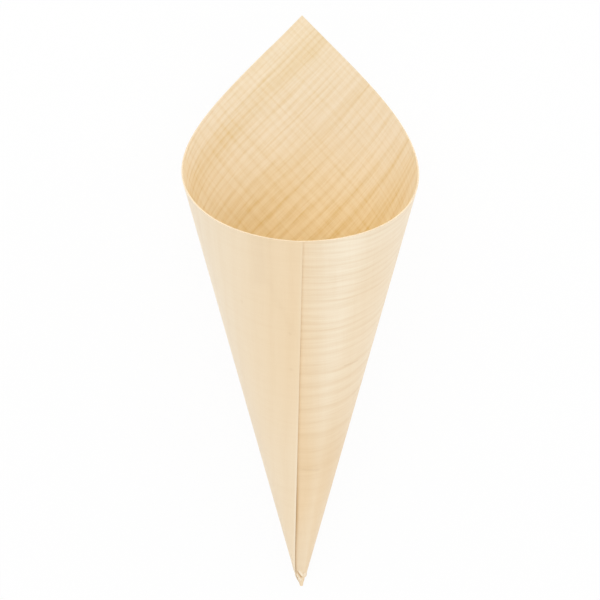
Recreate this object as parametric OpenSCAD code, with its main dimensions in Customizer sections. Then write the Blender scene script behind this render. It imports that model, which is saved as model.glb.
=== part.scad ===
// A disposable food cone rolled from one sheet of thin wood veneer.
//
// The flat sheet is a rectangle. It is rolled round a point just outside one of its corners,
// so that corner becomes the tip and the corner across from it becomes the peak of the mouth.
// A place on the sheet has a slant, its distance from the rolling point, and a sheet angle,
// which starts at zero along the flap edge. A full turn of the cone takes up full_turn degrees
// of the sheet. What is left over lies under the flap and makes the glued lap.
//
// The cone lies on a flat surface along a line just beside the one from its tip to its peak,
// which is how it comes to rest. The long back weighs most, and the lap pulls it a little round.
// The tip points to -Y, the seam faces up and the origin is below the middle.

/* [Veneer sheet] */

// Thickness of the veneer
veneer_t = 0.4; // [0.3:0.05:0.7]

// Distance from the rolling point to the far edge that ends at the flap
flap_side = 131.5; // [100:0.5:180]

// Distance from the rolling point to the far edge that ends under the flap
cross_side = 131.3; // [100:0.1:180]

// Distance from the rolling point in to the flap edge
flap_edge_in = 2.3; // [1.5:0.1:2.9]

// Distance from the rolling point out to the hidden inner edge
inner_edge_out = 5.3; // [3:0.1:8]

/* [Rolled cone] */

// Angle between the wall and the axis
half_angle = 14.09; // [13.09:0.05:14.29]

// Share of the radius by which two opposite sides stand out
oval = 0.019; // [0:0.001:0.03]

// Azimuth of one of the two sides, from the front towards +X
oval_at = 16; // [0:1:90]

// Share of the radius by which three sides stand out
lobes = 0.0095; // [0:0.0005:0.015]

// Azimuth of one of the three sides, from the front towards +X
lobes_at = 13; // [0:1:60]

// Space left for the glue between the two layers of the lap
glue_gap = 0.06; // [0.04:0.01:0.15]

// Height by which the free flap edge stands up near the tip
flap_lift = 0.12; // [0:0.02:0.3]

// Width of the strip along the flap edge that stands up
lift_width = 3; // [1:0.5:6]

// Slant below which the flap edge starts to stand up
lift_start = 70; // [30:5:100]

/* [Resting side] */

// Angle round the cone from the peak to the middle of the side that it lies on
rest_turn = 7.5; // [5:0.5:10]

// Angle round the cone over which that side is flat
rest_flat = 15.6; // [10:0.2:20]

/* [Tip] */

// Slant at which the blunt tip ends
tip_slant = 3; // [3:0.1:4]

// Thickness of the crushed veneer at the very tip
tip_t = 0.2; // [0.15:0.05:0.3]

// Slant below which the veneer is crushed
crush_start = 10; // [8:0.5:20]

// Share of the width that the pinched tip has lost
pinch = 0.24; // [0:0.02:0.26]

// Slant below which the tip is pinched
pinch_start = 7.5; // [6:0.5:15]

// Height of the small fold on one side of the tip
fold_h = 0.22; // [0:0.02:0.4]

// Slant of the small fold
fold_slant = 7.2; // [5:0.1:12]

// Half width of the small fold along the slant
fold_w = 0.9; // [0.6:0.1:2]

/* [Fineness] */

// Strips in one full turn of the cone
turn_strips = 72; // [72:6:96]

// Rows along the slant
rows = 24; // [16:1:26]

// Sheet angle beside each side edge in which the strips bend to follow that edge
edge_band = 12; // [11:1:16]

// Slant below which the strips start to spread evenly between the side edges
fan_start = 34; // [28:2:50]

// Slant below which they are spread evenly
fan_end = 12; // [12:1:16]

/* [Hidden] */

wood_colour = [0.945, 0.863, 0.722];

// Sheet angle of one full turn
full_turn = 360 * sin(half_angle);

// Slants and sheet angles of the three corners of the sheet away from the tip
flap_corner_slant = norm([flap_side, flap_edge_in]);
inner_corner_slant = norm([cross_side, inner_edge_out]);
flap_corner_angle = atan2(flap_edge_in, flap_side);
inner_corner_angle = 90 + atan2(inner_edge_out, cross_side);
peak_angle = atan2(cross_side, flap_side);

// Sheet angle of one strip, and how many strips lie on each side of the peak
strip_angle = full_turn / turn_strips;
flap_strips = round((peak_angle - flap_corner_angle) / strip_angle);
cross_strips = round((inner_corner_angle - peak_angle) / strip_angle);
strips = flap_strips + cross_strips;

// A smooth step from 0 to 1 while x runs from 0 to 1
function ease(x) = let (c = min(1, max(0, x))) c * c * (3 - 2 * c);

// A value that runs evenly from a to b while x runs from 0 to 1
function blend(a, b, x) = a + (b - a) * min(1, max(0, x));

// Sheet angle of the flap edge and of the hidden inner edge at a slant. Close to the tip the
// flap edge has turned the corner of the sheet, so it bounds the sheet on both sides.
function flap_angle(slant) = asin(min(1, flap_edge_in / min(slant, flap_corner_slant)));

function inner_angle(slant) = min(
    180 - flap_angle(slant),
    90 + asin(min(1, inner_edge_out / min(slant, inner_corner_slant)))
);

// Slant of the two far edges of the sheet, which make the rim, at a sheet angle
function rim_slant(angle) = angle <= peak_angle ? flap_side / cos(angle) : cross_side / sin(angle);

// Sheet angle at the rim of the line before a strip. One of these lines runs to the peak.
function line_angle(i) = i == 0 ? flap_corner_angle
    : i == strips ? inner_corner_angle
    : peak_angle + (i - flap_strips) * strip_angle;

// Slant of one grid point. The rows widen by one ratio, so the narrow tip has the closest rows.
function grid_slant(i, j) = tip_slant * pow(rim_slant(line_angle(i)) / tip_slant, j / rows);

// Sheet angle of one grid point. The lines run straight to the apex, apart from those beside a
// side edge, which follow it. Towards the tip they all spread evenly between the side edges.
function grid_angle(i, slant) =
    let (
        from_flap = line_angle(i) - flap_corner_angle,
        from_inner = inner_corner_angle - line_angle(i),
        straight = line_angle(i)
            + (flap_angle(slant) - flap_corner_angle) * max(0, 1 - from_flap / edge_band)
            + (inner_angle(slant) - inner_corner_angle) * max(0, 1 - from_inner / edge_band),
        even = blend(flap_angle(slant), inner_angle(slant), from_flap / (from_flap + from_inner))
    )
    blend(even, straight, ease((slant - fan_end) / (fan_start - fan_end)));

// Thickness of the veneer at a slant
function wall(slant) = blend(tip_t, veneer_t, (slant - tip_slant) / (crush_start - tip_slant));

// Height of the outer face over the cone. It falls by one layer in each full turn, which lays
// the flap over the inner end of the sheet.
function layer_height(angle, slant) = (wall(slant) + glue_gap) * (0.5 - angle / full_turn);

// How far the flap stands up beside its free edge
function lift(angle, slant) =
    let (beside = (angle - flap_angle(slant)) * slant * PI / 180)
    flap_lift * ease(1 - beside / lift_width) * ease((lift_start - slant) / lift_start);

// The small fold, highest on the +X side of the tip
function fold(azimuth, slant) = let (across = (slant - fold_slant) / fold_w)
    fold_h * exp(-across * across) * ease(sin(azimuth));

// Width of the pinched tip as a share of the width of the cone
function pinched(slant) = 1 - pinch * ease((pinch_start - slant) / (pinch_start - tip_slant));

// Radius of the section at an azimuth, as a share of the radius of a round cone
function section(azimuth) = 1
    + oval * cos(2 * (azimuth - oval_at))
    + lobes * cos(3 * (azimuth - lobes_at));

// The flat side's distance from the axis, as a share of the same radius
flat_level = section(180) * cos(rest_flat / 2);

// The section with its flat side, which lies on the ground
function rested(azimuth) = abs(azimuth - 180) < rest_flat
    ? min(section(azimuth), flat_level / cos(azimuth - 180))
    : section(azimuth);

// A point of the rolled sheet, at a depth below its outer face. The cone stands here with its
// apex at the origin, its axis along +Z and the side that it rests on towards +Y.
function rolled(angle, slant, depth) =
    let (
        azimuth = 180 - rest_turn + (peak_angle - angle) / sin(half_angle),
        height = layer_height(angle, slant) + lift(angle, slant) + fold(azimuth, slant) - depth,
        radius = slant * sin(half_angle) * pinched(slant) * rested(azimuth) + height * cos(half_angle)
    )
    [
        radius * sin(azimuth),
        -radius * cos(azimuth),
        slant * cos(half_angle) - height * sin(half_angle)
    ];

// Angle between the flat side and the axis
flat_angle = atan(tan(half_angle) * flat_level);

// The same point on the cone laid down on its flat side
function laid(p) = [
    p.x,
    p.y * sin(flat_angle) + p.z * cos(flat_angle),
    p.z * sin(flat_angle) - p.y * cos(flat_angle)
];

// The two faces of the veneer, line by line from the flap edge to the inner edge
function face_points(on_inside) = [
    for (i = [0:strips], j = [0:rows])
        let (slant = grid_slant(i, j))
            laid(rolled(grid_angle(i, slant), slant, on_inside ? wall(slant) : 0))
];

function column(points, k) = [for (p = points) p[k]];

// Centre of the points in X and Y, and their lowest level in Z
function base_centre(points) = let (x = column(points, 0), y = column(points, 1), z = column(points, 2))
    [(min(x) + max(x)) / 2, (min(y) + max(y)) / 2, min(z)];

// Number of a grid point on the outer face, and of the one behind it on the inner face
function outer(i, j) = i * (rows + 1) + j;

function inner(i, j) = (strips + 1) * (rows + 1) + outer(i, j);

// Two triangles that share the line from a to c
function two_triangles(a, b, c, d) = [[a, b, c], [a, c, d]];

outer_faces = [
    for (i = [0:strips - 1], j = [0:rows - 1])
        each two_triangles(outer(i, j), outer(i + 1, j), outer(i + 1, j + 1), outer(i, j + 1))
];

inner_faces = [
    for (i = [0:strips - 1], j = [0:rows - 1])
        each two_triangles(inner(i, j), inner(i, j + 1), inner(i + 1, j + 1), inner(i + 1, j))
];

tip_and_rim_faces = [
    for (i = [0:strips - 1])
        each concat(
            two_triangles(outer(i + 1, 0), outer(i, 0), inner(i, 0), inner(i + 1, 0)),
            two_triangles(outer(i, rows), outer(i + 1, rows), inner(i + 1, rows), inner(i, rows))
        )
];

side_edge_faces = [
    for (j = [0:rows - 1])
        each concat(
            two_triangles(outer(0, j), outer(0, j + 1), inner(0, j + 1), inner(0, j)),
            two_triangles(outer(strips, j + 1), outer(strips, j), inner(strips, j), inner(strips, j + 1))
        )
];

// The whole cone: one sheet of veneer, rolled and glued
module rolled_veneer() {
    points = concat(face_points(false), face_points(true));
    color(wood_colour)
        translate(-base_centre(points))
            polyhedron(
                points = points,
                faces = concat(outer_faces, inner_faces, tip_and_rim_faces, side_edge_faces),
                convexity = 6
            );
}

rolled_veneer();
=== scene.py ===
"""A disposable food cone rolled from one sheet of thin pale wood veneer.

The cone is one rectangular sheet, rolled round a point just outside one of its corners and glued
where the left flap laps over the right side. It lies on a pale floor on its long back, with the
seam up, and the camera looks down on it.

A geometry node tree rolls a flat block into the cone by the same rule as the part's own model. It
also gives the mesh a UV map that holds each point's place on the flat sheet, with U along the
flap edge and V across it, both as a share of the sheet's side. The grain is drawn there, so it
runs straight over the sheet and curves with it round the cone.
"""

import logging
import math
from dataclasses import dataclass, field
from enum import Enum
from typing import Sequence, Union

import bmesh
import bpy
from mathutils import Matrix, Vector

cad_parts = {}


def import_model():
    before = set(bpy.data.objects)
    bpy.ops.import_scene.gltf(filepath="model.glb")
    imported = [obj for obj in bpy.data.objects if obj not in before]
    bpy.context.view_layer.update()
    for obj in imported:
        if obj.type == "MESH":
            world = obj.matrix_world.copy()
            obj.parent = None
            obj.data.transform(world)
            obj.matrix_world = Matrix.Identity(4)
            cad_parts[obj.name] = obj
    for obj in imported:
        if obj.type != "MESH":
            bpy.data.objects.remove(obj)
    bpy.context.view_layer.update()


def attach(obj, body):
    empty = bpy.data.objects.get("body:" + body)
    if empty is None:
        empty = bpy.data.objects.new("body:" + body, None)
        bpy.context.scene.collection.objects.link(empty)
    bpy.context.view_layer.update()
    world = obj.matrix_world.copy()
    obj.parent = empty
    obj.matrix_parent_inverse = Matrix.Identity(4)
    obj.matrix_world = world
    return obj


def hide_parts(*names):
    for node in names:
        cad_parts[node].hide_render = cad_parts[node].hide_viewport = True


Colour = tuple[float, float, float]
Number = Union[int, float]

LOG = logging.getLogger("wooden_food_cone")

MM = 0.001


class Face(Enum):
    """The three kinds of surface that the sheet shows."""

    OUTSIDE = "veneer_outside"
    INSIDE = "veneer_inside"
    CUT_EDGE = "veneer_cut_edge"


def linear(red: int, green: int, blue: int) -> Colour:
    """Turn an sRGB colour in steps of 255 into a linear one.

    Args:
        red: Red, 0 to 255.
        green: Green, 0 to 255.
        blue: Blue, 0 to 255.

    Returns:
        The linear red, green and blue, 0 to 1.
    """
    shares = [value / 255 for value in (red, green, blue)]
    return tuple(s / 12.92 if s <= 0.04045 else ((s + 0.055) / 1.055) ** 2.4 for s in shares)


# ---------------------------------------------------------------- node trees


class Wire:
    """A socket of a node tree that Python's operators work on."""

    def __init__(self, tree: "Tree", socket: bpy.types.NodeSocket) -> None:
        """Keep the socket and the tree that new Math nodes go into."""
        self.tree = tree
        self.socket = socket

    def __add__(self, other: "Term") -> "Wire":
        """Sum of two values."""
        return self.tree.math("ADD", self, other)

    __radd__ = __add__

    def __sub__(self, other: "Term") -> "Wire":
        """Difference of two values."""
        return self.tree.math("SUBTRACT", self, other)

    def __rsub__(self, other: "Term") -> "Wire":
        """Difference of a number and this value."""
        return self.tree.math("SUBTRACT", other, self)

    def __mul__(self, other: "Term") -> "Wire":
        """Product of two values."""
        return self.tree.math("MULTIPLY", self, other)

    __rmul__ = __mul__

    def __truediv__(self, other: "Term") -> "Wire":
        """Quotient of two values."""
        return self.tree.math("DIVIDE", self, other)

    def __rtruediv__(self, other: "Term") -> "Wire":
        """Quotient of a number and this value."""
        return self.tree.math("DIVIDE", other, self)

    def __pow__(self, other: "Term") -> "Wire":
        """This value to a power."""
        return self.tree.math("POWER", self, other)

    def __neg__(self) -> "Wire":
        """This value with its sign changed."""
        return self.tree.math("MULTIPLY", self, -1.0)


Term = Union[Wire, Number]


class Tree:
    """Adds nodes to one node tree, and the maths that joins them."""

    def __init__(self, nodes: bpy.types.NodeTree) -> None:
        """Take an empty node tree."""
        self.nodes = nodes

    def node(
        self,
        kind: str,
        settings: dict[str, object] | None = None,
        sockets: dict[str | int, object] | None = None,
    ) -> bpy.types.Node:
        """Add a node, set it up and feed its sockets.

        Args:
            kind: The node's type.
            settings: Its own settings, set first.
            sockets: A value, wire or socket for inputs by name or number.

        Returns:
            The new node.
        """
        node = self.nodes.nodes.new(kind)
        for name, value in (settings or {}).items():
            setattr(node, name, value)
        for key, value in (sockets or {}).items():
            self.feed(node.inputs[key], value)
        return node

    def feed(self, socket: bpy.types.NodeSocket, value: object) -> None:
        """Link a wire or a socket to an input, or set its value."""
        if isinstance(value, Wire):
            value = value.socket
        if isinstance(value, bpy.types.NodeSocket):
            self.nodes.links.new(value, socket)
        else:
            socket.default_value = value

    def wire(self, node: bpy.types.Node, output: str | int = 0) -> Wire:
        """Wrap a node's output."""
        return Wire(self, node.outputs[output])

    def math(self, operation: str, *terms: Term, clamp: bool = False) -> Wire:
        """Add a Math node.

        Args:
            operation: The Math node's operation.
            terms: Its inputs in order.
            clamp: Keep the result between 0 and 1.

        Returns:
            The result.
        """
        settings = {"operation": operation, "use_clamp": clamp}
        return self.wire(self.node("ShaderNodeMath", settings, dict(enumerate(terms))))

    def remap(
        self,
        value: Term,
        low: Term,
        high: Term,
        to_low: Term = 0.0,
        to_high: Term = 1.0,
        smooth: bool = False,
    ) -> Wire:
        """Carry a value from one range to another, held at both ends.

        Args:
            value: The value.
            low: Its value at the first end.
            high: Its value at the other end.
            to_low: The result at the first end.
            to_high: The result at the other end.
            smooth: Ease in and out in place of a straight line.

        Returns:
            The result.
        """
        settings = {"clamp": True, "interpolation_type": "SMOOTHSTEP" if smooth else "LINEAR"}
        inputs = {0: value, 1: low, 2: high, 3: to_low, 4: to_high}
        return self.wire(self.node("ShaderNodeMapRange", settings, inputs))

    def bell(self, distance: Term, width: Term) -> Wire:
        """A smooth bump that is 1 where the distance is 0 and fades over the width."""
        share = self.math("DIVIDE", distance, width)
        return self.math("EXPONENT", -(share * share))

    def length(self, u: Wire, v: Wire) -> Wire:
        """Length of a step of u along the flap edge and v across it."""
        return self.math("SQRT", u * u + v * v)

    def vector(self, x: Term, y: Term, z: Term = 0.0) -> Wire:
        """A vector of three values."""
        return self.wire(self.node("ShaderNodeCombineXYZ", None, {0: x, 1: y, 2: z}))

    def parts(self, vector: Wire) -> tuple[Wire, Wire, Wire]:
        """The three values of a vector."""
        node = self.node("ShaderNodeSeparateXYZ", None, {0: vector})
        return self.wire(node, 0), self.wire(node, 1), self.wire(node, 2)

    def noise(self, place: Wire, detail: float = 2.0, roughness: float = 0.5) -> Wire:
        """Smooth random values round 0.5 over a place whose unit is one lump."""
        sockets = {"Vector": place, "Scale": 1.0, "Detail": detail, "Roughness": roughness}
        return self.wire(self.node("ShaderNodeTexNoise", None, sockets), 0)

    def tint(self, base: Wire | Colour, other: Colour, amount: Term) -> Wire:
        """Mix a colour into another by an amount from 0 to 1."""
        settings = {"data_type": "RGBA", "blend_type": "MIX", "clamp_factor": True}
        first = base if isinstance(base, Wire) else (*base, 1.0)
        node = self.node("ShaderNodeMix", settings, {0: amount, 6: first, 7: (*other, 1.0)})
        return self.wire(node, 2)


@dataclass(frozen=True)
class Stroke:
    """A short straight mark or crease, in shares of the sheet's side.

    Args:
        start: Its start along and across the flap edge.
        end: Its end.
        width: Distance over which it fades.
        amount: How dark the mark is, or how far the crease stands up in metres.
    """

    start: tuple[float, float]
    end: tuple[float, float]
    width: float
    amount: float

    def add(self, tree: Tree, u: Wire, v: Wire) -> Wire:
        """Add the stroke to a tree.

        Args:
            tree: The node tree.
            u: Place along the flap edge.
            v: Place across it.

        Returns:
            The amount on the stroke, fading to 0 beside it.
        """
        du, dv = self.end[0] - self.start[0], self.end[1] - self.start[1]
        squared = du**2 + dv**2
        u, v = u - self.start[0], v - self.start[1]
        # share of the stroke's length at the point nearest to the place
        passed = tree.math("ADD", u * (du / squared), v * (dv / squared), clamp=True)
        distance = tree.length(u - passed * du, v - passed * dv)
        return self.amount * tree.bell(distance, self.width)


# ---------------------------------------------------------------- the rolled sheet


TIP_CREASES = (
    Stroke((-0.010, 0.070), (0.003, 0.056), 0.0030, -0.30 * MM),
    Stroke((-0.003, 0.076), (0.005, 0.061), 0.0034, 0.12 * MM),
    Stroke((-0.014, 0.060), (0.000, 0.047), 0.0034, 0.12 * MM),
    Stroke((-0.014, 0.048), (-0.008, 0.040), 0.0030, -0.05 * MM),
    Stroke((0.007, 0.072), (0.009, 0.058), 0.0030, -0.14 * MM),
    Stroke((0.013, 0.066), (0.012, 0.058), 0.0034, 0.12 * MM),
    Stroke((0.026, 0.044), (0.010, 0.048), 0.0046, -0.34 * MM),
    Stroke((0.062, 0.018), (0.034, 0.018), 0.0060, -0.12 * MM),
    Stroke((0.062, 0.020), (0.048, 0.030), 0.0040, -0.10 * MM),
    Stroke((0.052, 0.022), (0.040, 0.034), 0.0036, 0.08 * MM),
    Stroke((0.050, 0.048), (0.036, 0.040), 0.0044, -0.16 * MM),
    Stroke((0.034, 0.062), (0.026, 0.046), 0.0044, -0.14 * MM),
)


@dataclass(frozen=True)
class SheetSizes:
    """Sizes of the rolled sheet, in metres and radians.

    They are the part's own, but for the tip, whose creases take up a little of its length.
    """

    veneer: float = 0.4 * MM
    flap_side: float = 131.5 * MM
    cross_side: float = 131.3 * MM
    flap_edge_in: float = 2.3 * MM
    inner_edge_out: float = 5.3 * MM
    half_angle: float = math.radians(14.09)
    oval: float = 0.019
    oval_at: float = math.radians(16)
    lobes: float = 0.0095
    lobes_at: float = math.radians(13)
    glue_gap: float = 0.06 * MM
    flap_lift: float = 0.12 * MM
    lift_width: float = 3 * MM
    lift_start: float = 70 * MM
    rest_turn: float = math.radians(7.5)
    rest_flat: float = math.radians(15.6)
    tip_slant: float = 3.4 * MM
    tip_thickness: float = 0.2 * MM
    crush_start: float = 10 * MM
    pinch: float = 0.24
    pinch_start: float = 7.5 * MM
    fold_height: float = 0.22 * MM
    fold_slant: float = 7.2 * MM
    fold_width: float = 0.9 * MM
    apex: tuple[float, float, float] = (-0.112 * MM, -94.272 * MM, 0.013 * MM)
    strips: int = 330
    rows: int = 130


class RolledSheet:
    """The whole cone: one sheet of veneer, rolled and lapped over itself."""

    NAME = "rolled_sheet"
    CRISP_ANGLE = 0.5
    FACES_UP = 0.5
    SMALLEST = 0.001

    def __init__(self, sizes: SheetSizes) -> None:
        """Keep the sizes."""
        self.sizes = sizes

    def build(self, finishes: dict[Face, bpy.types.Material]) -> bpy.types.Object:
        """Roll the sheet and turn the result into a plain mesh.

        Args:
            finishes: The material of each kind of surface.

        Returns:
            The finished piece.
        """
        tree = bpy.data.node_groups.new("roll_a_sheet", "GeometryNodeTree")
        tree.interface.new_socket("Geometry", in_out="OUTPUT", socket_type="NodeSocketGeometry")
        sockets = self._add_inputs(tree)
        self._add_nodes(tree, finishes)

        seed = bpy.data.objects.new("flat_block", bpy.data.meshes.new("flat_block"))
        bpy.context.scene.collection.objects.link(seed)
        modifier = seed.modifiers.new("roll", "NODES")
        modifier.node_group = tree
        for identifier, value in sockets.items():
            modifier[identifier] = value
        graph = bpy.context.evaluated_depsgraph_get()
        mesh = bpy.data.meshes.new_from_object(
            seed.evaluated_get(graph), preserve_all_data_layers=True, depsgraph=graph
        )
        bpy.data.objects.remove(seed)
        mesh.name = self.NAME
        piece = bpy.data.objects.new(self.NAME, mesh)
        bpy.context.scene.collection.objects.link(piece)
        return piece

    def _add_inputs(self, tree: bpy.types.NodeTree) -> dict[str, float | int]:
        """Add a named input for every size but the apex, and return its value by identifier."""
        values = {}
        for name, value in vars(self.sizes).items():
            if name == "apex":
                continue
            kind = "NodeSocketInt" if isinstance(value, int) else "NodeSocketFloat"
            socket = tree.interface.new_socket(name, in_out="INPUT", socket_type=kind)
            values[socket.identifier] = value
        return values

    def _add_nodes(
        self, nodes: bpy.types.NodeTree, finishes: dict[Face, bpy.types.Material]
    ) -> None:
        """Build the tree: a block, its place on the sheet, the roll and the materials.

        Args:
            nodes: The geometry node tree.
            finishes: The material of each kind of surface.
        """
        tree = Tree(nodes)
        inputs = tree.node("NodeGroupInput")
        size = {name: tree.wire(inputs, name) for name in vars(self.sizes) if name != "apex"}

        counts = {
            "Size": (1.0, 1.0, 1.0),
            "Vertices X": size["strips"] + 1,
            "Vertices Y": size["rows"] + 1,
            "Vertices Z": 2,
        }
        block = tree.node("GeometryNodeMeshCube", None, counts)
        x, y, z = tree.parts(tree.wire(tree.node("GeometryNodeInputPosition")))
        angle, slant = self._place_on_sheet(tree, size, 0.5 - x, y + 0.5)
        rolled = self._roll(tree, size, angle, slant, 0.5 - z)

        flat = tree.vector(
            slant * tree.math("COSINE", angle) / size["flap_side"],
            slant * tree.math("SINE", angle) / size["flap_side"],
        )
        mapped = tree.node(
            "GeometryNodeStoreNamedAttribute",
            {"data_type": "FLOAT2", "domain": "CORNER"},
            {"Geometry": block.outputs["Mesh"], "Name": "sheet", "Value": flat},
        )
        facing = tree.parts(tree.wire(tree.node("GeometryNodeInputNormal")))[2]
        kept = tree.node("GeometryNodeCaptureAttribute", {"domain": "FACE"}, {0: mapped.outputs[0]})
        kept.capture_items.new("FLOAT", "facing")
        tree.feed(kept.inputs["facing"], facing)
        corner = tree.wire(tree.node("GeometryNodeInputMeshEdgeAngle"), 0)
        crisp = tree.node(
            "GeometryNodeSetShadeSmooth",
            {"domain": "EDGE"},
            {
                "Geometry": kept.outputs[0],
                "Selection": tree.math("GREATER_THAN", corner, self.CRISP_ANGLE),
                "Shade Smooth": False,
            },
        )
        moved = tree.node(
            "GeometryNodeSetPosition", None, {"Geometry": crisp.outputs[0], "Position": rolled}
        )
        last = tree.node("GeometryNodeRealizeInstances", None, {0: moved.outputs[0]})
        facing = tree.wire(kept, "facing")
        sides = {
            Face.CUT_EDGE: True,
            Face.OUTSIDE: tree.math("GREATER_THAN", facing, self.FACES_UP),
            Face.INSIDE: tree.math("LESS_THAN", facing, -self.FACES_UP),
        }
        for face, selection in sides.items():
            last = tree.node(
                "GeometryNodeSetMaterial",
                None,
                {"Geometry": last.outputs[0], "Selection": selection, "Material": finishes[face]},
            )
        tree.node("NodeGroupOutput", None, {0: last.outputs[0]})

    @staticmethod
    def _edge_angles(tree: Tree, size: dict[str, Wire], slant: Wire) -> tuple[Wire, Wire]:
        """Sheet angles of the flap edge and of the hidden inner edge at a slant."""
        flap_corner = tree.math("SQRT", size["flap_side"] ** 2 + size["flap_edge_in"] ** 2)
        inner_corner = tree.math("SQRT", size["cross_side"] ** 2 + size["inner_edge_out"] ** 2)
        near_flap = tree.math("MINIMUM", slant, flap_corner)
        near_inner = tree.math("MINIMUM", slant, inner_corner)
        flap = tree.math("ARCSINE", tree.math("MINIMUM", 1.0, size["flap_edge_in"] / near_flap))
        out = tree.math("ARCSINE", tree.math("MINIMUM", 1.0, size["inner_edge_out"] / near_inner))
        return flap, tree.math("MINIMUM", math.pi - flap, math.pi / 2 + out)

    def _place_on_sheet(
        self, tree: Tree, size: dict[str, Wire], across: Wire, along: Wire
    ) -> tuple[Wire, Wire]:
        """Turn a place on the block into one on the flat sheet.

        Args:
            tree: The geometry node tree.
            size: The sheet's sizes.
            across: Share of the way from the flap edge to the inner edge.
            along: Share of the way from the tip to the rim.

        Returns:
            The sheet angle and the slant.
        """
        flap_corner = tree.math("ARCTAN2", size["flap_edge_in"], size["flap_side"])
        past_square = tree.math("ARCTAN2", size["inner_edge_out"], size["cross_side"])
        inner_corner = math.pi / 2 + past_square
        peak = tree.math("ARCTAN2", size["cross_side"], size["flap_side"])

        # one line of the block runs to the peak, so the peak stays sharp
        peak_share = (peak - flap_corner) / (inner_corner - flap_corner)
        peak_line = tree.math("ROUND", size["strips"] * peak_share) / size["strips"]
        share = tree.remap(across, 0.0, peak_line, 0.0, peak_share) + tree.remap(
            across, peak_line, 1.0, 0.0, 1.0 - peak_share
        )
        at_rim = flap_corner + share * (inner_corner - flap_corner)
        top = tree.math(
            "MINIMUM",
            size["flap_side"] / tree.math("MAXIMUM", tree.math("COSINE", at_rim), self.SMALLEST),
            size["cross_side"] / tree.math("MAXIMUM", tree.math("SINE", at_rim), self.SMALLEST),
        )
        slant = size["tip_slant"] * (top / size["tip_slant"]) ** along
        flap, inner = self._edge_angles(tree, size, slant)
        return flap + share * (inner - flap), slant

    def _roll(
        self, tree: Tree, size: dict[str, Wire], angle: Wire, slant: Wire, depth: Wire
    ) -> Wire:
        """Roll a place on the sheet into the cone and lay the cone down.

        Args:
            tree: The geometry node tree.
            size: The sheet's sizes.
            angle: Sheet angle.
            slant: Distance from the rolling point.
            depth: Share of the way from the outer face to the inner face.

        Returns:
            The place in the part's frame.
        """
        sine = tree.math("SINE", size["half_angle"])
        cosine = tree.math("COSINE", size["half_angle"])
        peak = tree.math("ARCTAN2", size["cross_side"], size["flap_side"])
        azimuth = math.pi - size["rest_turn"] + (peak - angle) / sine
        full_turn = 2 * math.pi * sine

        wall = tree.remap(
            slant, size["tip_slant"], size["crush_start"], size["tip_thickness"], size["veneer"]
        )
        layer = (wall + size["glue_gap"]) * (0.5 - angle / full_turn)
        beside = (angle - self._edge_angles(tree, size, slant)[0]) * slant
        lift = (
            size["flap_lift"]
            * tree.remap(beside, size["lift_width"], 0.0, smooth=True)
            * tree.remap(slant, size["lift_start"], 0.0, smooth=True)
        )
        fold = (
            size["fold_height"]
            * tree.bell(slant - size["fold_slant"], size["fold_width"])
            * tree.remap(tree.math("SINE", azimuth), 0.0, 1.0, smooth=True)
        )
        pinched = 1 - size["pinch"] * tree.remap(
            slant, size["pinch_start"], size["tip_slant"], smooth=True
        )
        u = slant * tree.math("COSINE", angle) / size["flap_side"]
        v = slant * tree.math("SINE", angle) / size["flap_side"]
        for crease in TIP_CREASES:
            fold = fold + crease.add(tree, u, v)
        height = layer + lift + fold - wall * depth
        shape, level = self._section(tree, size, azimuth)
        radius = slant * sine * pinched * shape + height * cosine

        x = radius * tree.math("SINE", azimuth)
        y = -radius * tree.math("COSINE", azimuth)
        z = slant * cosine - height * sine
        lie = tree.math("ARCTANGENT", tree.math("TANGENT", size["half_angle"]) * level)
        down, along = tree.math("SINE", lie), tree.math("COSINE", lie)
        apex = self.sizes.apex
        laid_y, laid_z = y * down + z * along, z * down - y * along
        return tree.vector(x + apex[0], laid_y + apex[1], laid_z + apex[2])

    @staticmethod
    def _section(tree: Tree, size: dict[str, Wire], azimuth: Wire) -> tuple[Wire, Wire]:
        """Shape of the section, a little out of round and flat where the cone lies.

        Args:
            tree: The geometry node tree.
            size: The sheet's sizes.
            azimuth: Direction round the axis.

        Returns:
            The radius at the azimuth and the flat side's distance from the axis, both as a share
            of a round cone's radius.
        """

        def stands_out(at: Term) -> Wire:
            """Radius of the section without its flat side."""
            twice = tree.math("COSINE", 2 * (at - size["oval_at"]))
            thrice = tree.math("COSINE", 3 * (at - size["lobes_at"]))
            return 1 + size["oval"] * twice + size["lobes"] * thrice

        level = stands_out(math.pi) * tree.math("COSINE", size["rest_flat"] / 2)
        round_part = stands_out(azimuth)
        beside = tree.math("ABSOLUTE", azimuth - math.pi)
        cut = level / tree.math("MAXIMUM", tree.math("COSINE", beside), 0.2)
        near = tree.math("LESS_THAN", beside, size["rest_flat"])
        pressed = tree.math("MINIMUM", round_part, cut)
        return round_part + near * (pressed - round_part), level


# ---------------------------------------------------------------- finishes


def seam_distance(tree: Tree, sizes: SheetSizes, u: Wire, v: Wire) -> Wire:
    """Distance over the outside from the flap edge to a place to its right.

    Args:
        tree: The material's node tree.
        sizes: The sheet's sizes.
        u: Place along the flap edge.
        v: Place across it.

    Returns:
        The distance as a share of the sheet's side, below 0 under the flap.
    """
    slant = tree.length(u, v)
    flap_edge = sizes.flap_edge_in / sizes.flap_side
    flap = tree.math("ARCSINE", tree.math("MINIMUM", 1.0, flap_edge / slant))
    full_turn = 2 * math.pi * math.sin(sizes.half_angle)
    return slant * (flap + full_turn - tree.math("ARCTAN2", v, u))


@dataclass(frozen=True)
class Streak:
    """One line or band of grain that stands out, a pale one where the strength is below 0.

    Places are shares of the sheet's side.
    """

    place: float
    width: float
    strength: float


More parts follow.
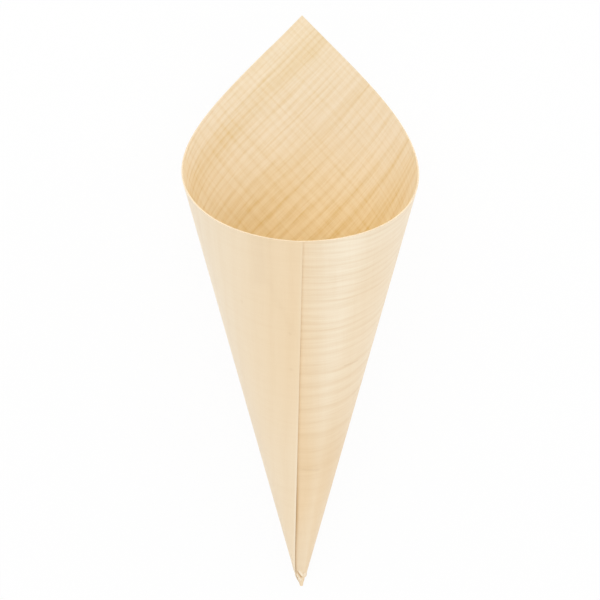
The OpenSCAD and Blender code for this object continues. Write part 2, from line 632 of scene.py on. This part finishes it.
@dataclass(frozen=True)
class GrowthLines:
    """Growth lines of one layer of fibres, which crowd together towards the far edge.

    Args:
        strength: How dark the lines are.
        fine: How dark the fibres between them are.
        wander: How far the lines stray sideways over the whole sheet.
        ripple: How far they stray over a short way.
        seed: Keeps the layers apart.
        faint: How much of the strength is left beside the near edge.
        streaks: The lines that stand out.
    """

    strength: float
    fine: float
    wander: float
    ripple: float
    seed: float
    faint: float = 1.0
    streaks: tuple[Streak, ...] = ()

    CROWD_FROM = 0.4
    WIDE_LINES = 24.0
    CROWDING = 58.0
    SHARPNESS = 2.6
    FIBRES_ACROSS, FIBRES_ALONG = 95, 4
    PORES_ACROSS, PORES_ALONG = 270, 14

    def add(self, tree: Tree, across: Wire, along: Wire) -> Wire:
        """Add the lines to a material.

        Args:
            tree: The material's node tree.
            across: Place across the lines.
            along: Place along the lines.

        Returns:
            The darkness, from 0 to about 1.
        """
        seed = self.seed
        stray = tree.noise(tree.vector(across * 2.2, along * 1.6, seed), detail=1.0) - 0.5
        bend = tree.noise(tree.vector(across * 9, along * 8, seed + 1), detail=1.0) - 0.5
        place = across + self.wander * stray + self.ripple * bend
        crowded = tree.math("MAXIMUM", place - self.CROWD_FROM, 0.0)
        count = self.WIDE_LINES * place + self.CROWDING * crowded**3
        uneven = tree.noise(tree.vector(count * 0.45, along * 0.7, seed + 2), detail=1.0) - 0.5
        count = count + 0.9 * uneven
        wave = 0.5 + 0.5 * tree.math("COSINE", 2 * math.pi * count)
        vary = tree.noise(tree.vector(count * 0.8, along * 1.7, seed + 3), detail=1.0)
        dark = self.strength * tree.remap(vary, 0.3, 0.7, 0.3, 1.0) * wave**self.SHARPNESS
        fibres = tree.noise(
            tree.vector(place * self.FIBRES_ACROSS, along * self.FIBRES_ALONG, seed + 4), detail=2.0
        )
        pores = tree.noise(
            tree.vector(place * self.PORES_ACROSS, along * self.PORES_ALONG, seed + 6), detail=1.0
        )
        between = tree.remap(fibres, 0.42, 0.72) + tree.remap(pores, 0.45, 0.7, 0.0, 0.8)
        dark = dark + self.fine * between
        dark = dark * tree.remap(across, 0.2, 0.5, self.faint, 1.0)
        for number, streak in enumerate(self.streaks):
            fade = tree.noise(tree.vector(along * 5, number * 3.7, seed + 5), detail=1.0)
            bell = tree.bell(place - streak.place, streak.width)
            dark = dark + streak.strength * bell * tree.remap(fade, 0.3, 0.6, 0.4, 1.0)
        return dark


@dataclass(frozen=True)
class VeneerFinish:
    """Bare, matt, pale wood on one face of the sheet.

    Args:
        face: The face that it is for.
        light: The wood's lightest tone.
        dark: Its darker tone, in soft clouds.
        line: Tone of the growth lines.
        warm: Tone of the places that are warmer; deep inside, it is painted shade.
        along_flap: Lines of the fibres that run along the flap edge.
        across_flap: Lines of the fibres that run across it.
        marks_and_crease_shade: Dark spots on the wood, and painted shade in the creases near the
            tip.
        glints: Painted highlights on the ridges of the creases near the tip.
        stain_and_shade: Tone of dark spots on the wood and of all the painted shade.
        pale: Tone of the painted highlights.
        cloud: How far the clouds go towards the darker tone.
        sheen: Brightness at a grazing view.
        roughness: Least roughness.
        relief: Depth of the growth lines in metres.
    """

    # widths of the painted shade beside the seam and of the painted highlight on its edge
    SEAM_SHADE_WIDTH = 0.0048
    SEAM_HIGHLIGHT_WIDTH = 0.0035

    face: Face
    light: Colour
    dark: Colour
    line: Colour
    warm: Colour
    along_flap: GrowthLines
    across_flap: GrowthLines
    marks_and_crease_shade: tuple[Stroke, ...] = ()
    glints: tuple[Stroke, ...] = ()
    stain_and_shade: Colour = linear(190, 148, 92)
    pale: Colour = linear(255, 243, 220)
    cloud: float = 0.3
    sheen: float = 0.12
    roughness: float = 0.66
    relief: float = 0.02 * MM

    def make(self, sizes: SheetSizes) -> bpy.types.Material:
        """Build the material.

        Args:
            sizes: The sheet's sizes.

        Returns:
            The material.
        """
        material = bpy.data.materials.new(self.face.value)
        material.use_nodes = True
        material.node_tree.nodes.clear()
        tree = Tree(material.node_tree)
        u, v, _ = tree.parts(tree.wire(tree.node("ShaderNodeUVMap", {"uv_map": "sheet"}), 0))
        slant = tree.length(u, v)

        patches = tree.noise(tree.vector(u * 2.6, v * 2.6, 3.0), detail=1.0)
        colour = tree.tint(self.light, self.dark, self.cloud * tree.remap(patches, 0.35, 0.65))
        if self.face is Face.INSIDE:
            # painted shade: warmer deep inside, where light bounces round the inside
            colour = tree.tint(colour, self.warm, tree.remap(slant, 1.2, 0.7, smooth=True))
        elif self.face is Face.OUTSIDE:
            colour = self._outside_tones(tree, sizes, colour, u, v)
        along = self.along_flap.add(tree, v, u)
        across = self.across_flap.add(tree, u, v)
        lines = along + across
        if self.face is Face.INSIDE:
            lines = lines * tree.remap(slant, 0.75, 1.15, 1.5, 0.85)
        colour = tree.tint(colour, self.line, lines)
        if self.face is Face.OUTSIDE:
            colour = self._seam(tree, sizes, colour, u, v)
        # dark spots on the wood, and painted shade in the creases
        for mark in self.marks_and_crease_shade:
            colour = tree.tint(colour, self.stain_and_shade, mark.add(tree, u, v))
        # painted highlights
        for glint in self.glints:
            colour = tree.tint(colour, self.pale, glint.add(tree, u, v))

        bump = tree.node(
            "ShaderNodeBump", None, {"Strength": 0.5, "Distance": self.relief, "Height": 1 - lines}
        )
        pores = tree.noise(tree.vector(u * 60, v * 60, 5.0), detail=3.0)
        shader = tree.node(
            "ShaderNodeBsdfPrincipled",
            None,
            {
                "Base Color": colour,
                "Roughness": self.roughness + 0.1 * pores,
                "Normal": tree.wire(bump),
                "Specular IOR Level": 0.35,
                "Sheen Weight": self.sheen,
            },
        )
        tree.node("ShaderNodeOutputMaterial", None, {"Surface": shader.outputs[0]})
        return material

    def _outside_tones(
        self, tree: Tree, sizes: SheetSizes, colour: Wire, u: Wire, v: Wire
    ) -> Wire:
        """Vary the tone of the outside.

        It is warmer on both sides of the seam and far out on the right. Painted shade darkens it
        low on the right and towards the tip, and a painted highlight brightens a band right of the
        seam.

        Args:
            tree: The material's node tree.
            sizes: The sheet's sizes.
            colour: The colour so far.
            u: Place along the flap edge.
            v: Place across it.

        Returns:
            The new colour.
        """
        slant = tree.length(u, v)
        beside = tree.bell(seam_distance(tree, sizes, u, v), 0.045)
        beside = beside * tree.remap(slant, 0.9, 0.7, 0.5, 0.8, smooth=True)
        left = tree.bell(v, 0.17) * tree.remap(slant, 0.35, 0.75, 0.45, 0.8, smooth=True)
        right = tree.remap(v - u, -0.02, 0.06)
        low = right * tree.bell(slant - 0.38, 0.16)
        at_tip = right * tree.remap(slant, 0.3, 0.12)
        far_right = right * tree.remap(slant, 1.0, 0.85) * tree.remap(u / slant, 0.06, 0.14)
        low_far_right = far_right * tree.remap(slant, 0.75, 0.5)

        warmth = (beside + left) * (1 - 0.6 * at_tip) + 0.45 * low + 0.35 * far_right
        # painted shade, low on the right and towards the tip
        shade = 0.06 * low + 0.09 * at_tip + 0.04 * low_far_right
        # painted highlight in a band to the right of the seam
        painted_highlight = tree.bell(u / slant - 0.12, 0.04) * tree.remap(v, 0.5, 0.9, 0.2, 0.65)
        colour = tree.tint(colour, self.warm, warmth)
        colour = tree.tint(colour, self.stain_and_shade, shade)
        return tree.tint(colour, self.pale, painted_highlight)

    def _seam(self, tree: Tree, sizes: SheetSizes, colour: Wire, u: Wire, v: Wire) -> Wire:
        """Paint the shade and glue beside the flap edge, and a highlight along the edge.

        Args:
            tree: The material's node tree.
            sizes: The sheet's sizes.
            colour: The colour so far.
            u: Place along the flap edge.
            v: Place across it.

        Returns:
            The new colour.
        """
        slant = tree.length(u, v)
        # painted shade in the gap under the flap edge, deepest low down near the tip
        beside = tree.bell(seam_distance(tree, sizes, u, v), self.SEAM_SHADE_WIDTH)
        depth = tree.remap(slant, 0.9, 0.6, 0.0, 0.1) + 0.55 * tree.bell(slant - 0.27, 0.115)
        colour = tree.tint(colour, self.stain_and_shade, beside * depth)
        # painted highlight along the flap's raised edge
        edge = tree.bell(v - sizes.flap_edge_in / sizes.flap_side, self.SEAM_HIGHLIGHT_WIDTH)
        strength = tree.remap(slant, 0.7, 0.3, 0.15, 0.5, smooth=True)
        return tree.tint(colour, self.pale, edge * strength)


INSIDE_FINISH = VeneerFinish(
    face=Face.INSIDE,
    light=linear(246, 231, 206),
    dark=linear(244, 223, 190),
    line=linear(218, 178, 84),
    warm=linear(245, 222, 171),
    along_flap=GrowthLines(strength=0.11, fine=0.08, wander=0.03, ripple=0.004, seed=11.0),
    across_flap=GrowthLines(
        strength=0.25,
        fine=0.16,
        wander=0.012,
        ripple=0.003,
        seed=29.0,
        streaks=(
            Streak(0.490, 0.0500, 0.11),
            Streak(0.516, 0.0040, 0.28),
            Streak(0.566, 0.0045, 0.30),
            Streak(0.640, 0.0450, -0.11),
            Streak(0.678, 0.0035, 0.12),
            Streak(0.770, 0.0120, 0.08),
            Streak(0.840, 0.0450, -0.07),
            Streak(0.930, 0.0220, 0.25),
        ),
    ),
)

OUTSIDE_FINISH = VeneerFinish(
    face=Face.OUTSIDE,
    light=linear(248, 232, 205),
    dark=linear(244, 225, 196),
    line=linear(216, 174, 112),
    warm=linear(244, 217, 177),
    along_flap=GrowthLines(
        strength=0.16,
        fine=0.11,
        wander=0.05,
        ripple=0.012,
        seed=11.0,
        faint=0.3,
        streaks=(
            Streak(0.938, 0.008, 0.09),
            Streak(0.766, 0.004, 0.06),
            Streak(0.434, 0.005, 0.14),
            Streak(0.402, 0.005, 0.14),
        ),
    ),
    across_flap=GrowthLines(strength=0.015, fine=0.03, wander=0.01, ripple=0.004, seed=29.0),
    marks_and_crease_shade=(
        Stroke((1.010, 0.107), (0.900, 0.107), 0.0200, 0.07),
        Stroke((0.112, 0.671), (0.153, 0.665), 0.0016, 0.16),
        Stroke((0.012, 0.400), (0.049, 0.393), 0.0030, 0.12),
        Stroke((0.897, 0.087), (0.840, 0.061), 0.0080, 0.03),
        Stroke((0.840, 0.061), (0.769, 0.027), 0.0080, 0.03),
        Stroke((0.774, 0.039), (0.776, 0.040), 0.0035, 0.10),
        Stroke((0.681, 0.035), (0.683, 0.036), 0.0035, 0.10),
        Stroke((0.823, 0.155), (0.825, 0.156), 0.0035, 0.08),
        # painted shade in the creases near the tip
        Stroke((-0.009, 0.070), (0.002, 0.057), 0.0026, 0.85),
        Stroke((-0.012, 0.045), (-0.009, 0.041), 0.0028, 0.15),
        Stroke((0.008, 0.069), (0.010, 0.060), 0.0024, 0.22),
        Stroke((0.020, 0.046), (0.011, 0.049), 0.0024, 0.20),
    ),
    # painted highlights on the ridges of the creases near the tip
    glints=(
        Stroke((-0.003, 0.076), (0.005, 0.062), 0.0028, 0.70),
        Stroke((-0.013, 0.060), (0.000, 0.048), 0.0028, 0.70),
        Stroke((0.012, 0.065), (0.012, 0.060), 0.0032, 0.70),
    ),
    sheen=0.3,
)


@dataclass(frozen=True)
class CutEdgeFinish:
    """The sheet's cut edge, where the ends and sides of the fibres show."""

    FIBRES = 420

    light: Colour = linear(234, 217, 189)
    dark: Colour = linear(218, 192, 155)

    def make(self) -> bpy.types.Material:
        """Build the material.

        Returns:
            The material.
        """
        material = bpy.data.materials.new(Face.CUT_EDGE.value)
        material.use_nodes = True
        material.node_tree.nodes.clear()
        tree = Tree(material.node_tree)
        u, v, _ = tree.parts(tree.wire(tree.node("ShaderNodeUVMap", {"uv_map": "sheet"}), 0))
        fibres = tree.noise(tree.vector(u * self.FIBRES, v * self.FIBRES, 2.0), detail=2.0)
        colour = tree.tint(self.light, self.dark, tree.remap(fibres, 0.35, 0.7, 0.0, 0.6))
        shader = tree.node(
            "ShaderNodeBsdfPrincipled",
            None,
            {"Base Color": colour, "Roughness": 0.8, "Specular IOR Level": 0.2},
        )
        tree.node("ShaderNodeOutputMaterial", None, {"Surface": shader.outputs[0]})
        return material


# ---------------------------------------------------------------- studio


@dataclass(frozen=True)
class Lamp:
    """One large soft lamp, turned to the cone."""

    name: str
    place: tuple[float, float, float]
    size: float
    power: float

    def add(self) -> None:
        """Add the lamp to the scene."""
        light = bpy.data.lights.new(self.name, "AREA")
        light.shape = "SQUARE"
        light.size = self.size
        light.energy = self.power
        lamp = bpy.data.objects.new(self.name, light)
        lamp.location = self.place
        lamp.rotation_euler = Vector(self.place).to_track_quat("Z", "Y").to_euler()
        bpy.context.scene.collection.objects.link(lamp)


@dataclass(frozen=True)
class Studio:
    """The pale floor and the soft light."""

    floor_size: float = 3.0
    floor_colour: Colour = (0.9, 0.9, 0.9)
    floor_seen_white: float = 0.93
    sky: float = 0.645
    lamps: tuple[Lamp, ...] = (
        Lamp("mouth_box", (0.0, 0.95, 0.22), 0.8, 5.4),
        Lamp("right_card", (0.85, 0.15, 0.38), 0.9, 1.85),
        Lamp("left_box", (-0.55, 0.35, 0.85), 0.8, 2.25),
        Lamp("tip_box", (0.0, -0.85, 0.6), 0.8, 2.25),
    )

    def build(self) -> None:
        """Add the floor, the sky and the lamps."""
        self._floor()
        self._sky()
        for lamp in self.lamps:
            lamp.add()

    def _floor(self) -> None:
        """A plain floor that the camera sees as white, with the cone's shadow on it."""
        shape = bmesh.new()
        bmesh.ops.create_grid(shape, x_segments=1, y_segments=1, size=self.floor_size / 2)
        mesh = bpy.data.meshes.new("floor")
        shape.to_mesh(mesh)
        shape.free()
        floor = bpy.data.objects.new("floor", mesh)
        bpy.context.scene.collection.objects.link(floor)

        material = bpy.data.materials.new("pale_floor")
        material.use_nodes = True
        material.node_tree.nodes.clear()
        tree = Tree(material.node_tree)
        matt = tree.node("ShaderNodeBsdfDiffuse", None, {"Color": (*self.floor_colour, 1.0)})
        white = tree.node("ShaderNodeEmission", None, {"Color": (1, 1, 1, 1), "Strength": 1.0})
        mixed = tree.node(
            "ShaderNodeMixShader",
            None,
            {0: self._seen(tree) * self.floor_seen_white, 1: matt.outputs[0], 2: white.outputs[0]},
        )
        tree.node("ShaderNodeOutputMaterial", None, {"Surface": mixed.outputs[0]})
        mesh.materials.append(material)

    @staticmethod
    def _seen(tree: Tree) -> Wire:
        """1 where the camera sees a surface, straight, in a reflection or through glass, else 0."""
        path = tree.node("ShaderNodeLightPath")
        straight = tree.wire(path, "Is Camera Ray")
        glossy, clear = tree.wire(path, "Is Glossy Ray"), tree.wire(path, "Is Transmission Ray")
        return tree.math("MAXIMUM", straight, tree.math("MAXIMUM", glossy, clear))

    def _sky(self) -> None:
        """An even sky that the camera sees as white."""
        world = bpy.data.worlds.new("soft_sky")
        bpy.context.scene.world = world
        world.use_nodes = True
        world.node_tree.nodes.clear()
        tree = Tree(world.node_tree)
        strength = self.sky + (1 - self.sky) * self._seen(tree)
        sky = tree.node("ShaderNodeBackground", None, {"Color": (1, 1, 1, 1), "Strength": strength})
        tree.node("ShaderNodeOutputWorld", None, {"Surface": sky.outputs[0]})


@dataclass(frozen=True)
class PhotoCamera:
    """A camera at the photograph's view, placed from the cone's own axis.

    Args:
        elevation: Angle between the view and the plane across the cone's axis.
        roll: Turn of the picture.
        spin: Turn of the cone about its axis, apart from the turn in which it rests.
        shift_right: The apex's place to the right of the view's middle.
        shift_up: The apex's place above the view's middle.
        distance: Distance along the view from the camera to the apex.
        focal_pixels: Focal length in the photograph's pixels.
        picture: Side of the photograph in pixels.
    """

    elevation: float = math.radians(17.92493)
    roll: float = math.radians(-0.0798)
    spin: float = math.radians(-0.07009)
    shift_right: float = 0.3353 * MM
    shift_up: float = -95.81068 * MM
    distance: float = 376.62472 * MM
    focal_pixels: float = 1156.26233
    picture: int = 600

    def build(self, sheet: SheetSizes) -> bpy.types.Object:
        """Place the camera.

        Args:
            sheet: The cone's sizes, which say how it lies.

        Returns:
            The camera.
        """
        apart = math.cos(sheet.rest_flat / 2) * (
            1
            + sheet.oval * math.cos(2 * (math.pi - sheet.oval_at))
            + sheet.lobes * math.cos(3 * (math.pi - sheet.lobes_at))
        )
        lie = math.atan(math.tan(sheet.half_angle) * apart)
        # a cone that stands on its apex, with its back towards +Y, laid down as the part lies
        laid = Matrix(
            (
                (1, 0, 0),
                (0, math.sin(lie), math.cos(lie)),
                (0, -math.cos(lie), math.sin(lie)),
            )
        )
        turned = Matrix.Rotation(-sheet.rest_turn - self.spin, 3, "Z")
        sine, cosine = math.sin(self.elevation), math.cos(self.elevation)
        # view axes of the standing cone: right, up and away from the camera
        right, up, away = Vector((1, 0, 0)), Vector((0, sine, cosine)), Vector((0, cosine, -sine))
        tilt = Matrix.Rotation(self.roll, 3, away)
        place = -(self.shift_right * right + self.shift_up * up + self.distance * away)
        right, up, place = tilt @ right, tilt @ up, tilt @ place
        onto = laid @ turned
        axes = [onto @ axis for axis in (right, up, -away)]
        where = onto @ place + Vector(sheet.apex)

        data = bpy.data.cameras.new("photo_camera")
        data.sensor_fit = "HORIZONTAL"
        data.angle = 2 * math.atan(self.picture / 2 / self.focal_pixels)
        data.clip_start = 0.01
        data.dof.use_dof = False
        camera = bpy.data.objects.new("photo_camera", data)
        camera.matrix_world = Matrix.Translation(where) @ Matrix(axes).transposed().to_4x4()
        bpy.context.scene.collection.objects.link(camera)
        bpy.context.scene.camera = camera
        return camera


# ---------------------------------------------------------------- the whole scene


@dataclass
class Cone:
    """The dressed cone."""

    sizes: SheetSizes = field(default_factory=SheetSizes)

    def build(self) -> list[bpy.types.Object]:
        """Make the sheet, dress it and tie it to the frame.

        Returns:
            The pieces.
        """
        finishes = {
            Face.INSIDE: INSIDE_FINISH.make(self.sizes),
            Face.OUTSIDE: OUTSIDE_FINISH.make(self.sizes),
            Face.CUT_EDGE: CutEdgeFinish().make(),
        }
        piece = RolledSheet(self.sizes).build(finishes)
        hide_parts("rolled_veneer")
        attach(piece, "root")
        return [piece]


def main() -> None:
    """Build the cone, the studio and the camera."""
    logging.basicConfig(level=logging.INFO, format="%(name)s: %(message)s")
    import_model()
    cone = Cone()
    for piece in cone.build():
        LOG.info("%s: %d faces", piece.name, len(piece.data.polygons))
    Studio().build()
    PhotoCamera().build(cone.sizes)
    bpy.context.scene.view_settings.view_transform = "Standard"


if __name__ == "__main__":
    main()
